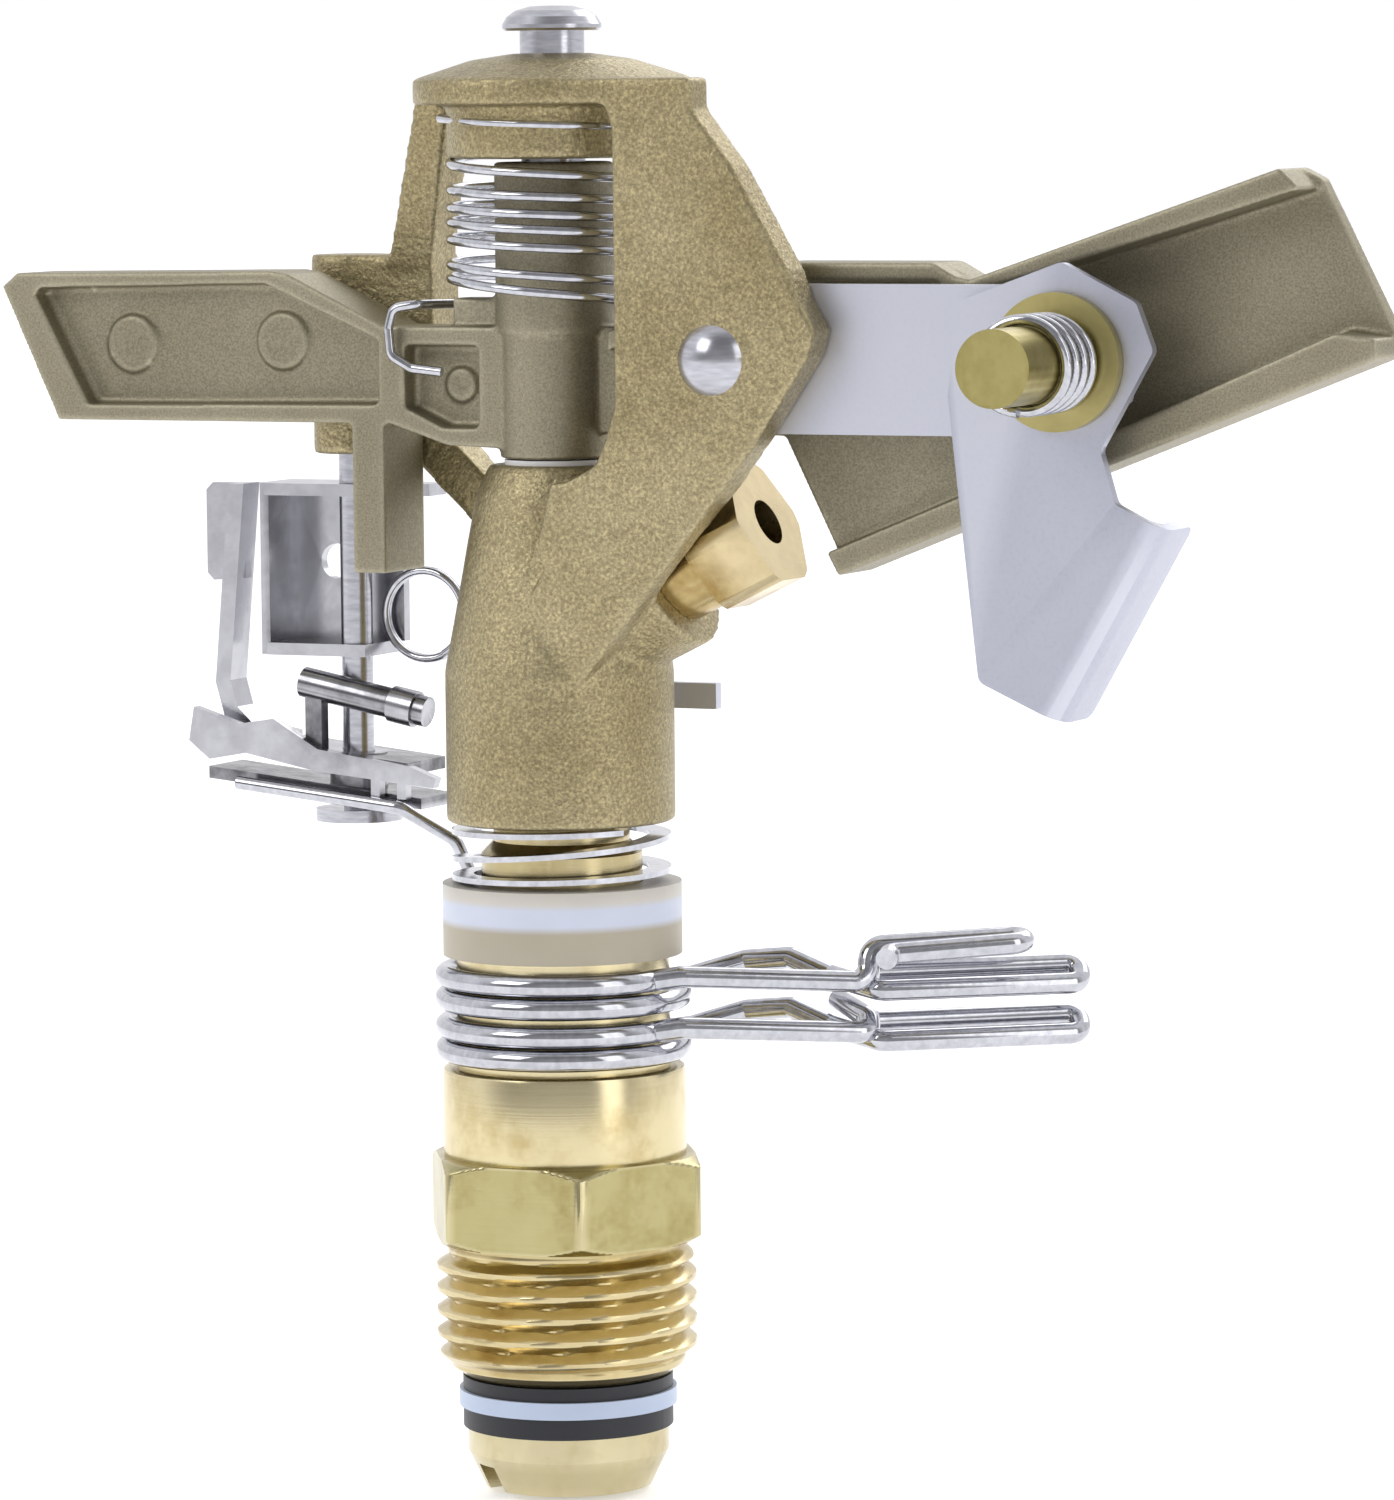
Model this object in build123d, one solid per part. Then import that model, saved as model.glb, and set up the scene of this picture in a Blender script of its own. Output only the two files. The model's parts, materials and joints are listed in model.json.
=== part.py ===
from build123d import *
import math
import os

# Part-circle impact sprinkler, half-inch male inlet. Millimetres, +Z up.
# Heights below are measured from the lower end of the inlet nipple. The finished pieces are moved down so
# that the origin is on the riser axis at the inlet thread's first crest. The jet leaves towards +X.

# Inlet nipple
THREAD_PITCH = 25.4 / 14
THREAD_CREST_R = 10.5
THREAD_ROOT_R = 9.4
THREAD_TURNS = 5
THREAD_START_Z = 2.4
CREST_HALF = 0.3
NIPPLE_END_R = 8.5
HEX_Z0, HEX_Z1 = 11.0, 17.9
HEX_ACROSS_FLATS = 20.6
HEX_TURN = 2
COLLAR_SEAT_Z = 25.0
SHOULDER_R = 9.8
SLEEVE_R = 8.55
SLEEVE_TOP_Z = 36.2

# Turning stem and its bearing
STEM_R = 6.48
STEM_BORE_R = 4.6
STEM_FIT = 0.07
STEM_TOP_R = 5.5
STEM_BOTTOM_Z = -9.1
FLANGE_R = 8.15
FLANGE_TOP_Z = -4.2
WASHER_EDGES_Z = (-4.2, -2.5, -1.15, -0.05)
WASHER_RADII = (8.5, 8.8, 8.5)
SLOT_WIDTH, SLOT_DEPTH, SLOT_TURN = 2.4, 2.1, 56
HOOD_Z0, HOOD_Z1, HOOD_R = 34.1, 39.9, 9.64
LINER_TOP_Z = 38.5

# Friction collars
COLLAR_WIRE_R = 0.88
COLLAR_MEAN_R = SLEEVE_R + 0.07 + COLLAR_WIRE_R
COLLAR_LEAD_R = 0.97 * COLLAR_WIRE_R
COLLAR_BEND_R = 1.05
STEM_SPRING_R, STEM_SPRING_BORE_R, STEM_SPRING_THICK = 8.84, 7.1, 0.6
COLLAR_LOWER_Z = 26.9
COLLAR_UPPER_Z = 30.75
COLLAR_PITCH = 1.85

# Casting
BARREL_Z0, BARREL_TOP_Z = 44.8, 73.5
BARREL_R = 9.2
BOSS_R = 11.15
BOSS_Z0, BOSS_SIDE_Z, BOSS_TOP_Z = 102.2, 104.2, 106.2
SEAT_R, SEAT_Z0 = 8.5, 97.9
WEB_FRONT_Y, WEB_BACK_Y = -9.4, -5.8
WEB_FOOT_Z = 75.5

# Nozzle
JET_ANGLE = 26
JET_ORIGIN_Z = 60.1
NOZZLE_FACE = 20.6
NOZZLE_HEAD = 5.4
NOZZLE_HEAD_R = 5.4
NOZZLE_BARREL_R = 4.3
NOZZLE_BORE_R = 1.9

# Fulcrum pin and drive arm
PIN_R = 2.57
PIN_FIT = 0.08
ARM_HALF = 3.2
HUB_Z0, HUB_STEP_Z, HUB_Z1 = 74.0, 84.0, 97.6
HUB_LOWER_R, HUB_UPPER_R = 4.5, 4.75
PLATE_Z0, PLATE_Z1 = 76.7, 88.9
ARM_SPRING_R = 9.05
ARM_SPRING_WIRE_R = 0.42
ARM_SPRING_Z0, ARM_SPRING_Z1 = 86.7, 101.2
ARM_SPRING_TURNS = 8.5

# Deflector
SCREW_X, SCREW_Z = 46.1, 82.25
STRAP_BACK_Y = -4.8
SHEET = 1.0
SCREW_R = 3.0
SCREW_TIP_Y = -20.0
SCREW_SPRING_R, SCREW_SPRING_WIRE_R = 3.5, 0.42
SCREW_SPRING_LENGTH, SCREW_SPRING_TURNS = 6.6, 4

# Trip gear
TRIP_X, TRIP_Y = -22.2, 7.5
TRIP_PIN_R = 1.3
TRIP_FIT = 0.06
LUG_R = 3.3
LUG_Z0, LUG_Z1 = 73.7, 90.0


def disc(radius, z0, z1, x=0, y=0):
    return Pos(x, y, (z0 + z1) / 2) * Cylinder(radius, z1 - z0)


def ring(outer, inner, z0, z1, x=0, y=0):
    return disc(outer, z0, z1, x, y) - disc(inner, z0 - 1, z1 + 1, x, y)


def block(x0, x1, y0, y1, z0, z1):
    return Pos((x0 + x1) / 2, (y0 + y1) / 2, (z0 + z1) / 2) * Box(x1 - x0, y1 - y0, z1 - z0)


def plate(points, y0, y1):
    """A flat piece with its outline in X and Z, from y0 to y1."""
    face = Plane((0, y1, 0), x_dir=(1, 0, 0), z_dir=(0, -1, 0)) * make_face(Polyline(*points, close=True))
    return extrude(face, y1 - y0)


def turned(points):
    """A turned piece from its half profile in radius and height."""
    return revolve(Plane.XZ * make_face(Polyline(*points, close=True)), Axis.Z)


def along(start, direction, radius, length):
    return Plane(start, z_dir=direction) * Pos(0, 0, length / 2) * Cylinder(radius, length)


def wire(points, radius, bend):
    path = FilletPolyline(*points, radius=bend)
    return sweep(Plane(path @ 0, z_dir=path % 0) * Circle(radius), path)


def coil(radius, wire_radius, height, turns, lefthand=False):
    """A round-wire helical spring standing on the origin, along +Z."""
    path = Helix(height / turns, height, radius, lefthand=lefthand)
    return sweep(Plane(path @ 0, z_dir=path % 0) * Circle(wire_radius), path, is_frenet=True)


def box_loft(low, high):
    """A tapered bar between two level rectangles, each given as x0, x1, y0, y1, z."""
    faces = []
    for x0, x1, y0, y1, z in (low, high):
        faces.append(Pos((x0 + x1) / 2, (y0 + y1) / 2, z) * Rectangle(x1 - x0, y1 - y0))
    return loft(faces)


JET = (math.cos(math.radians(JET_ANGLE)), 0, math.sin(math.radians(JET_ANGLE)))


def jet_point(distance):
    return (JET[0] * distance, 0, JET_ORIGIN_Z + JET[2] * distance)


def inlet_nipple():
    bore = STEM_R + STEM_FIT
    profile = [(bore, 0), (NIPPLE_END_R, 0), (THREAD_ROOT_R, 1.3)]
    for turn in range(THREAD_TURNS):
        z = THREAD_START_Z + turn * THREAD_PITCH
        profile += [(THREAD_ROOT_R, z - 0.85), (THREAD_CREST_R, z - CREST_HALF)]
        profile += [(THREAD_CREST_R, z + CREST_HALF), (THREAD_ROOT_R, z + 0.85)]
    profile += [(THREAD_ROOT_R, HEX_Z0 + 0.2), (SHOULDER_R, HEX_Z0 + 0.2), (SHOULDER_R, COLLAR_SEAT_Z - 0.4)]
    profile += [(SHOULDER_R - 0.4, COLLAR_SEAT_Z), (SLEEVE_R, COLLAR_SEAT_Z)]
    profile += [(SLEEVE_R, SLEEVE_TOP_Z), (bore, SLEEVE_TOP_Z)]
    flats = Pos(0, 0, HEX_Z0) * extrude(
        RegularPolygon(HEX_ACROSS_FLATS / 2, 6, major_radius=False, rotation=HEX_TURN), HEX_Z1 - HEX_Z0)
    corner = HEX_ACROSS_FLATS / math.sqrt(3)
    chamfer = turned([(bore, HEX_Z0), (corner - 1.3, HEX_Z0), (corner, HEX_Z0 + 0.75),
                      (corner, HEX_Z1 - 0.75), (corner - 1.3, HEX_Z1), (bore, HEX_Z1)])
    return turned(profile) + (flats & chamfer)


def bearing_hood():
    shell = disc(HOOD_R, HOOD_Z0, HOOD_Z1) - disc(SLEEVE_R, HOOD_Z0 - 1, LINER_TOP_Z)
    return shell - disc(STEM_R + STEM_FIT, LINER_TOP_Z - 1, HOOD_Z1 + 1)


def hood_liner():
    return ring(SLEEVE_R, STEM_R + STEM_FIT, SLEEVE_TOP_Z, LINER_TOP_Z)


def stem_tube():
    tube = turned([(STEM_BORE_R, STEM_BOTTOM_Z), (6.75, STEM_BOTTOM_Z), (FLANGE_R, -6.2),
                   (FLANGE_R, FLANGE_TOP_Z), (STEM_R, FLANGE_TOP_Z), (STEM_R, 42.3),
                   (STEM_TOP_R, 43.3), (STEM_TOP_R, 56), (STEM_BORE_R, 56)])
    slot = Rot(0, 0, SLOT_TURN) * Box(4 * FLANGE_R, SLOT_WIDTH, SLOT_DEPTH)
    return tube - Pos(0, 0, STEM_BOTTOM_Z + SLOT_DEPTH / 2) * slot


def seal_washer(index):
    return ring(WASHER_RADII[index], STEM_R, WASHER_EDGES_Z[index], WASHER_EDGES_Z[index + 1])


def stem_spring():
    foot_z = HOOD_Z1 + 0.1
    low = ring(STEM_SPRING_R, STEM_SPRING_BORE_R, foot_z, foot_z + STEM_SPRING_THICK)
    high = ring(STEM_SPRING_R, STEM_SPRING_BORE_R, BARREL_Z0 - STEM_SPRING_THICK, BARREL_Z0)
    riser = block(-0.8, 0.8, 7.2, 8.7, HOOD_Z1 + 0.3, BARREL_Z0 - 0.2)
    return low + high + riser


def friction_collar(z, lift):
    """Two close turns of wire, with both ends led out to hairpin finger loops."""
    section = make_face(Polyline(*[(COLLAR_MEAN_R + COLLAR_WIRE_R * math.cos(math.radians(a)),
                                    COLLAR_WIRE_R * math.sin(math.radians(a)))
                                   for a in range(0, 360, 20)], close=True))
    turn = revolve(Plane.XZ * section, Axis.Z)
    top = z + COLLAR_PITCH
    bridge = block(-COLLAR_MEAN_R - 0.5, -COLLAR_MEAN_R + 0.5, -1.0, 1.0, z, top)
    front = [(0, -COLLAR_MEAN_R, top), (7, -COLLAR_MEAN_R, top), (21, 2.5, z + 1.1), (36.8, 15.2, z + 1.1),
             (36.8, 18.0, z + 0.7), (22, 6.2, z + 0.1)]
    back = [(0, COLLAR_MEAN_R, z), (7, COLLAR_MEAN_R, z), (14, 12.0, z + lift), (27, 23.5, z + lift + 0.6),
            (28.4, 21.2, z + lift + 0.2), (17.5, 11.6, z + lift - 0.8)]
    fronts = wire(front, COLLAR_LEAD_R, COLLAR_BEND_R)
    backs = wire(back, COLLAR_LEAD_R, COLLAR_BEND_R)
    return Pos(0, 0, z) * turn + Pos(0, 0, top) * turn + bridge + fronts + backs


def body_casting():
    barrel = turned([(0, BARREL_Z0), (BARREL_R, BARREL_Z0), (BARREL_R, 57), (8.4, 61), (7.3, 67),
                     (6.5, 71.2), (5.4, BARREL_TOP_Z), (0, BARREL_TOP_Z)])
    jet_boss = along((0, 0, JET_ORIGIN_Z), JET, 6.3, 11.5)
    foot = box_loft((-4, 3.5, -7.6, -1, 54), (8.6, 21.4, WEB_FRONT_Y, WEB_BACK_Y, WEB_FOOT_Z))
    foot += plate([(2, 66), (3.6, 72.4), (5.1, 72.6), (7.9, 74.1), (8.9, 77.1), (11, 77.1), (11, 68)],
                  WEB_FRONT_Y + 0.6, -2.5)
    web = plate([(8.6, WEB_FOOT_Z - 0.1), (9.6, 79), (9.6, 100), (9.0, 102), (9.0, BOSS_SIDE_Z),
                 (16.4, BOSS_SIDE_Z), (16.4, 101.8), (19.9, 97.3), (24.6, 89.2), (25.5, 86.7),
                 (26.8, 84.6), (26.2, 82.5), (21.4, WEB_FOOT_Z - 0.1)], WEB_FRONT_Y, WEB_BACK_Y)
    boss = turned([(0, BOSS_Z0), (BOSS_R, BOSS_Z0), (BOSS_R, BOSS_SIDE_Z), (6.5, 105.7),
                   (PIN_R + 0.5, BOSS_TOP_Z), (0, BOSS_TOP_Z)])
    bridge = Pos(0, 0, BOSS_Z0) * extrude(make_face(Polyline(
        (-2, -11), (9.0, WEB_FRONT_Y), (16.4, WEB_FRONT_Y), (16.0, WEB_BACK_Y), (10, 4), (0, 5), close=True)),
        BOSS_SIDE_Z - BOSS_Z0)
    seat = disc(SEAT_R, SEAT_Z0, BOSS_Z0 + 0.5)
    leg_top = box_loft((-17.4, -13.4, 4.4, 9.0, 89.0), (-13.2, -10.2, 1.5, 6.5, BOSS_Z0 + 0.5))
    leg_head = block(-13.2, -6, 1.5, 6.5, BOSS_Z0, BOSS_SIDE_Z - 0.4)
    lug = disc(LUG_R, LUG_Z0, LUG_Z1, TRIP_X, TRIP_Y)
    lug_web = block(TRIP_X, -13.4, 4.6, 9.8, 84.0, LUG_Z1)
    strut = box_loft((-7.5, -2.5, 3.6, 7.2, 66.5), (TRIP_X - 1, TRIP_X + 4.5, 5.2, 9.6, 80.5))
    body = barrel + jet_boss + foot + web + boss + bridge + seat + leg_top + leg_head + lug + lug_web + strut
    body -= disc(STEM_TOP_R, BARREL_Z0 - 1, 56)
    body -= disc(STEM_BORE_R, 55, 65)
    body -= along((0, 0, JET_ORIGIN_Z), JET, 3.9, 20)
    body -= along(jet_point(11.5), JET, NOZZLE_HEAD_R + 0.4, 16)
    body -= stop_tab_foot()
    body -= disc(PIN_R, 67.5, 120)
    body -= disc(TRIP_PIN_R, LUG_Z0 - 1, 82, TRIP_X, TRIP_Y)
    body -= Pos(17.9, 0, SCREW_Z) * Rot(90, 0, 0) * Cylinder(1.5, 40)
    return body


def nozzle():
    shank = along(jet_point(5.5), JET, 3.9, 6.0)
    barrel = along(jet_point(11.5), JET, NOZZLE_BARREL_R, NOZZLE_FACE - NOZZLE_HEAD - 11.5)
    head = Plane(jet_point(NOZZLE_FACE - NOZZLE_HEAD), x_dir=(0, 1, 0), z_dir=JET) * extrude(
        RegularPolygon(NOZZLE_HEAD_R * 0.92, 6, major_radius=False) & Circle(NOZZLE_HEAD_R), NOZZLE_HEAD)
    return shank + barrel + head - along(jet_point(0), JET, NOZZLE_BORE_R, 30)


def fulcrum_pin():
    return turned([(0, 67.5), (PIN_R, 67.5), (PIN_R, 108.0), (3.8, 108.0), (3.95, 108.2), (3.95, 108.5),
                   (3.6, 109.1), (2.9, 109.6), (1.7, 109.93), (0, 110.0)])


def thrust_washer():
    return ring(4.2, PIN_R, BARREL_TOP_Z, HUB_Z0 - 0.1)


def drive_arm():
    hub = disc(HUB_LOWER_R, HUB_Z0, HUB_STEP_Z) + disc(HUB_UPPER_R, HUB_STEP_Z, HUB_Z1)
    weight = plate([(-49.1, 87.6), (-47.7, 88.7), (-24.0, PLATE_Z1), (-22.6, 88.7), (-13.8, 84.5), (-1, 84.5),
                    (-1, 74.7), (-8.3, 75.0), (-13.5, PLATE_Z0), (-44.0, PLATE_Z0)], -ARM_HALF, ARM_HALF)
    pocket = [(-46.0, 86.9), (-45.6, 87.5), (-24.7, 87.9), (-14.4, 83.4), (-14.4, 78.2), (-41.2, 78.0)]
    small = [(-12.0, 83.0), (-5.4, 83.0), (-5.4, 76.4), (-8.5, 76.4), (-12.0, 78.0)]
    for outline in (pocket, small):
        weight -= plate(outline, -ARM_HALF - 1, -1.2)
        weight -= plate(outline, 1.2, ARM_HALF + 1)
    for x, z, radius in ((-37.8, 82.9, 2.3), (-23.9, 83.2, 2.3), (-7.7, 79.8, 1.35)):
        weight += Pos(x, 0, z) * Rot(90, 0, 0) * Cylinder(radius, 3.4)
    anchor = block(-8.0, -4.0, -2.4, 0.6, 84.4, 86.8)
    finger = block(-16.9, -14.0, -ARM_HALF, 4.0, 64.6, PLATE_Z0 + 0.5)
    beam = plate([(1, 76.0), (20.3, 76.0), (36.0, 76.0), (37.1, 88.3), (34.1, 89.7), (20.4, 89.7),
                  (8, 84.5), (1, 84.5)], -1.2, 1.8)
    cap = plate([(6, 82.6), (20.4, 88.2), (36.8, 88.2), (34.1, 89.7), (20.4, 89.7), (6, 84.2)],
                -ARM_HALF, ARM_HALF)
    vane = plate([(20.3, 76.5), (25.9, 65.2), (35.0, 68.9), (37.5, 76.5)], -1.2, 1.8)
    low_rail = plate([(24.9, 67.0), (25.9, 65.2), (47.2, 73.5), (70.6, 82.5), (70.4, 84.0), (67.1, 84.4),
                      (48.2, 76.4)], -ARM_HALF, ARM_HALF)
    spoon_web = plate([(36.0, 74.0), (47.2, 73.8), (70.6, 82.6), (70.6, 84.0), (64.5, 96.0), (62.7, 96.9),
                       (36.8, 88.1)], 1.4, ARM_HALF)
    top_rail = plate([(34.6, 86.4), (34.6, 88.9), (37.2, 88.4), (62.7, 96.9), (64.4, 95.3), (63.3, 95.0)],
                     -ARM_HALF, ARM_HALF)
    arm = hub + weight + anchor + finger + beam + cap + vane + spoon_web + top_rail + low_rail
    return arm - disc(PIN_R + PIN_FIT, HUB_Z0 - 20, HUB_Z1 + 5)


def arm_spring():
    height = ARM_SPRING_Z1 - ARM_SPRING_Z0
    return Pos(0, 0, ARM_SPRING_Z0) * coil(ARM_SPRING_R, ARM_SPRING_WIRE_R, height, ARM_SPRING_TURNS, True)


def screw_axis_piece(radius, front_y, back_y, x=SCREW_X, z=SCREW_Z):
    return Pos(x, (front_y + back_y) / 2, z) * Rot(90, 0, 0) * Cylinder(radius, back_y - front_y)


def deflector_strap():
    strap = plate([(14.4, 76.4), (47.6, 76.4), (51.4, 79.2), (52.4, 83.0), (50.2, 86.8), (47.0, 88.1),
                   (14.4, 88.1)], WEB_BACK_Y, WEB_BACK_Y + SHEET)
    return strap - screw_axis_piece(SCREW_R, -10, 0) - screw_axis_piece(1.5, -10, 0, 17.9)


def strap_rivet():
    shank = screw_axis_piece(1.5, WEB_FRONT_Y, WEB_BACK_Y + SHEET, 17.9)
    cap_height = 1.3
    dome_r = (2.75 ** 2 + cap_height ** 2) / (2 * cap_height)
    ball = Pos(17.9, WEB_FRONT_Y - cap_height + dome_r, SCREW_Z) * Sphere(dome_r)
    dome = ball & block(10, 26, WEB_FRONT_Y - 5, WEB_FRONT_Y, 75, 90)
    return shank + dome + screw_axis_piece(2.3, WEB_BACK_Y + SHEET, WEB_BACK_Y + SHEET + 0.5, 17.9)


FLAP_FRONT_Y = WEB_BACK_Y - SHEET - 0.05
WASHER_FRONT_Y = FLAP_FRONT_Y - 1.0


def deflector_flap():
    face = plate([(46.4, 89.9), (52.5, 86.8), (53.9, 83.1), (49.5, 75.5), (50.7, 71.4), (54.7, 69.4),
                  (46.1, 54.4), (39.3, 57.5), (36.9, 79.6), (37.9, 86.9)], FLAP_FRONT_Y, WEB_BACK_Y - 0.05)
    flange = plate([(53.6, 69.95), (54.7, 69.4), (46.1, 54.4), (45.0, 54.9)], FLAP_FRONT_Y, -0.6)
    return face + flange - screw_axis_piece(SCREW_R + PIN_FIT, -12, 2)


def deflector_screw():
    return screw_axis_piece(SCREW_R, SCREW_TIP_Y, STRAP_BACK_Y) + screw_axis_piece(
        4.0, WEB_BACK_Y + SHEET, WEB_BACK_Y + SHEET + 0.9)


def deflector_washer():
    return screw_axis_piece(5.35, WASHER_FRONT_Y, FLAP_FRONT_Y - 0.05) - screw_axis_piece(SCREW_R, -30, 0)


def deflector_screw_spring():
    start = Plane((SCREW_X, WASHER_FRONT_Y - SCREW_SPRING_WIRE_R - 0.08, SCREW_Z), z_dir=(0, -1, 0))
    return start * coil(SCREW_SPRING_R, SCREW_SPRING_WIRE_R, SCREW_SPRING_LENGTH, SCREW_SPRING_TURNS)


def trip_pin():
    pin = disc(TRIP_PIN_R, 43.9, 82, TRIP_X, TRIP_Y)
    head = disc(3.6, 43.4, 44.4, TRIP_X, TRIP_Y)
    return pin + head


def pin_hole():
    return disc(TRIP_PIN_R + TRIP_FIT, 40, 73, TRIP_X, TRIP_Y)


def trip_latch():
    top = block(-29.6, -19.4, 5.4, 11.6, 70.2, 71.2)
    tongue = block(-19.4, -15.4, 7.6, 10.6, 70.2, 71.2)
    back = block(-29.6, -19.4, 10.6, 11.6, 58.0, 71.2)
    back -= Pos(-25.6, 11, 64.5) * Rot(90, 0, 0) * Cylinder(1.45, 6)
    side = block(-30.3, -29.5, 6.0, 11.6, 57.0, 71.2)
    bottom = block(-29.6, -20.5, 5.6, 11.6, 57.0, 58.0)
    return top + tongue + back + side + bottom - pin_hole()


def trip_lever():
    """The bent sheet lever: an ear, a strip curving down into two sloping floors, and a rolled barrel."""
    ear = plate([(-35.8, 63.6), (-35.2, 63.0), (-32.2, 63.2), (-32.2, 71.1), (-35.2, 71.1), (-35.8, 70.5)],
                6.9, 7.9)
    strip = plate([(-34.5, 54.6), (-33.6, 51.4), (-31.2, 49.7), (-27.9, 49.2), (-27.9, 50.6), (-31.0, 51.2),
                   (-32.5, 52.6), (-33.1, 54.8), (-31.6, 71.1), (-33.0, 71.1)], 5.6, 8.4)
    upper_floor = plate([(-35.6, 50.6), (-16.0, 48.5), (-16.0, 47.5), (-35.6, 49.6)], 4.2, 11.0)
    front = plate([(-35.4, 52.7), (-31.2, 51.4), (-28.0, 51.9), (-23.9, 49.5), (-15.4, 48.3), (-13.0, 47.4),
                   (-13.3, 46.6), (-24.2, 47.7), (-30.6, 49.0), (-34.0, 48.4), (-35.9, 49.9)], 3.4, 4.4)
    lower_floor = plate([(-34.7, 47.7), (-15.0, 45.6), (-15.0, 44.7), (-34.7, 46.7)], 4.6, 10.4)
    spacer = disc(2.4, 45.5, 49.0, TRIP_X, TRIP_Y)
    barrel = along((-25.8, 4.9, 54.9), (0.98, 0, -0.19), 1.25, 11.6)
    barrel += along((-17.6, 4.9, 53.31), (0.98, 0, -0.19), 1.5, 2.2)
    post = block(-25.4, -23.9, 4.2, 5.4, 48.6, 54.6)
    lever = ear + strip + upper_floor + front + lower_floor + spacer + barrel + post
    for x in (-19.0, -16.6):
        lever += block(x, x + 0.8, 3.4, 4.4, 45.6, 48.0)
    return lever - pin_hole()


def trip_wire():
    """The hooked trip wire. Its straight leg is the hinge that it flips up on."""
    points = [(-31.0, 2.75, 46.6), (-16.0, 2.75, 45.0), (-12.3, 5.4, 42.2), (-10.8, 6.4, 38.0)]
    return wire(points, 0.55, 1.4)


def overcentre_spring():
    centre = (-16.9, 9.25, 60.3)
    front = Pos(*centre) * Rot(90, 0, 0) * Torus(3.65, 0.35)
    back = Pos(centre[0], centre[1] + 0.72, centre[2]) * Rot(90, 0, 0) * Torus(3.65, 0.35)
    link = along((centre[0], centre[1], centre[2] + 3.65), (0, 1, 0), 0.35, 0.72)
    return front + back + link


def stop_tab_foot():
    return block(3.0, 4.0, 8.0, 11.6, 53.1, 55.2)


def rear_stop_tab():
    return block(3.0, 8.9, 10.6, 11.6, 53.1, 55.2) + stop_tab_foot()


PARTS = {
    "inlet_nipple": inlet_nipple,
    "bearing_hood": bearing_hood,
    "hood_liner": hood_liner,
    "collar_lower": lambda: friction_collar(COLLAR_LOWER_Z, 0),
    "collar_upper": lambda: friction_collar(COLLAR_UPPER_Z, 3.6),
    "stem_tube": stem_tube,
    "seal_washer_lower": lambda: seal_washer(0),
    "seal_washer_middle": lambda: seal_washer(1),
    "seal_washer_upper": lambda: seal_washer(2),
    "stem_spring": stem_spring,
    "body_casting": body_casting,
    "nozzle": nozzle,
    "fulcrum_pin": fulcrum_pin,
    "thrust_washer": thrust_washer,
    "drive_arm": drive_arm,
    "arm_spring": arm_spring,
    "deflector_strap": deflector_strap,
    "strap_rivet": strap_rivet,
    "deflector_screw": deflector_screw,
    "deflector_washer": deflector_washer,
    "deflector_screw_spring": deflector_screw_spring,
    "deflector_flap": deflector_flap,
    "trip_pin": trip_pin,
    "trip_latch": trip_latch,
    "trip_lever": trip_lever,
    "trip_wire": trip_wire,
    "overcentre_spring": overcentre_spring,
    "rear_stop_tab": rear_stop_tab,
}


os.makedirs("parts", exist_ok=True)
for name, make in PARTS.items():
    export_step(Pos(0, 0, -THREAD_START_Z) * make(), f"parts/{name}.step")
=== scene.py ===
import json
import math

import bmesh
import bpy
from mathutils import Matrix, Quaternion, Vector


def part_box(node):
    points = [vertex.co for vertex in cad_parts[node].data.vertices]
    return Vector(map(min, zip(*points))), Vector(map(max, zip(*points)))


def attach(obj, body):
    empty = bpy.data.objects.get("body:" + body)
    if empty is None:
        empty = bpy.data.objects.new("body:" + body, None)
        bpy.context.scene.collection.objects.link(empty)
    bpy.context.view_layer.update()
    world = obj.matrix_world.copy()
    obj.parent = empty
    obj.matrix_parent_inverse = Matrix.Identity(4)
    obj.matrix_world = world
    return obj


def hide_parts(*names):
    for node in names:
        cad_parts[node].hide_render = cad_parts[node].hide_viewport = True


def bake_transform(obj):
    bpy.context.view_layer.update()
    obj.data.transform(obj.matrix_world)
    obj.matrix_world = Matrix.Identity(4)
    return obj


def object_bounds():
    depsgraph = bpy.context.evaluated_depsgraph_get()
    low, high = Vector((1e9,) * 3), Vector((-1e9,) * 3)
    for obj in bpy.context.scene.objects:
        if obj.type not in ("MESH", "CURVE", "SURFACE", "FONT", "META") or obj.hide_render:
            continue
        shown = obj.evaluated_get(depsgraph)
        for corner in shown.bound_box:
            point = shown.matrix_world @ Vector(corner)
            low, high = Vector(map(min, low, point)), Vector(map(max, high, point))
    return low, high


MM = 0.001

# Points and heights of pieces are in millimetres from the lower end of the inlet nipple, on the
# riser axis. NIPPLE_END is that end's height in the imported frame.
# Camera, in millimetres and degrees: level with the bridge top, turned to the strap side.
CAMERA_TURN = 25
CAMERA_TILT = 5.33
CAMERA_ROLL = 0.6
CAMERA_DISTANCE = 588
CAMERA_HEIGHT = 105.2
CAMERA_SIDE = 10.96
LENS_MM = 176.4

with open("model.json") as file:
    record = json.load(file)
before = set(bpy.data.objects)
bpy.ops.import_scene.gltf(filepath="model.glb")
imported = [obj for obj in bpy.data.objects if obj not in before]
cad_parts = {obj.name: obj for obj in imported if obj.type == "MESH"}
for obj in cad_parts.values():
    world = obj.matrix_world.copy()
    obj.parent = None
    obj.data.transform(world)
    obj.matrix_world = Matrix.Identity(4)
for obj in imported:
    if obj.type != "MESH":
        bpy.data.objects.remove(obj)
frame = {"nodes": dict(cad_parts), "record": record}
cad_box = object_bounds()
nodes = frame["nodes"]
NIPPLE_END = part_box("inlet_nipple")[0][2] / MM


# ---------- shader building ----------

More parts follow.
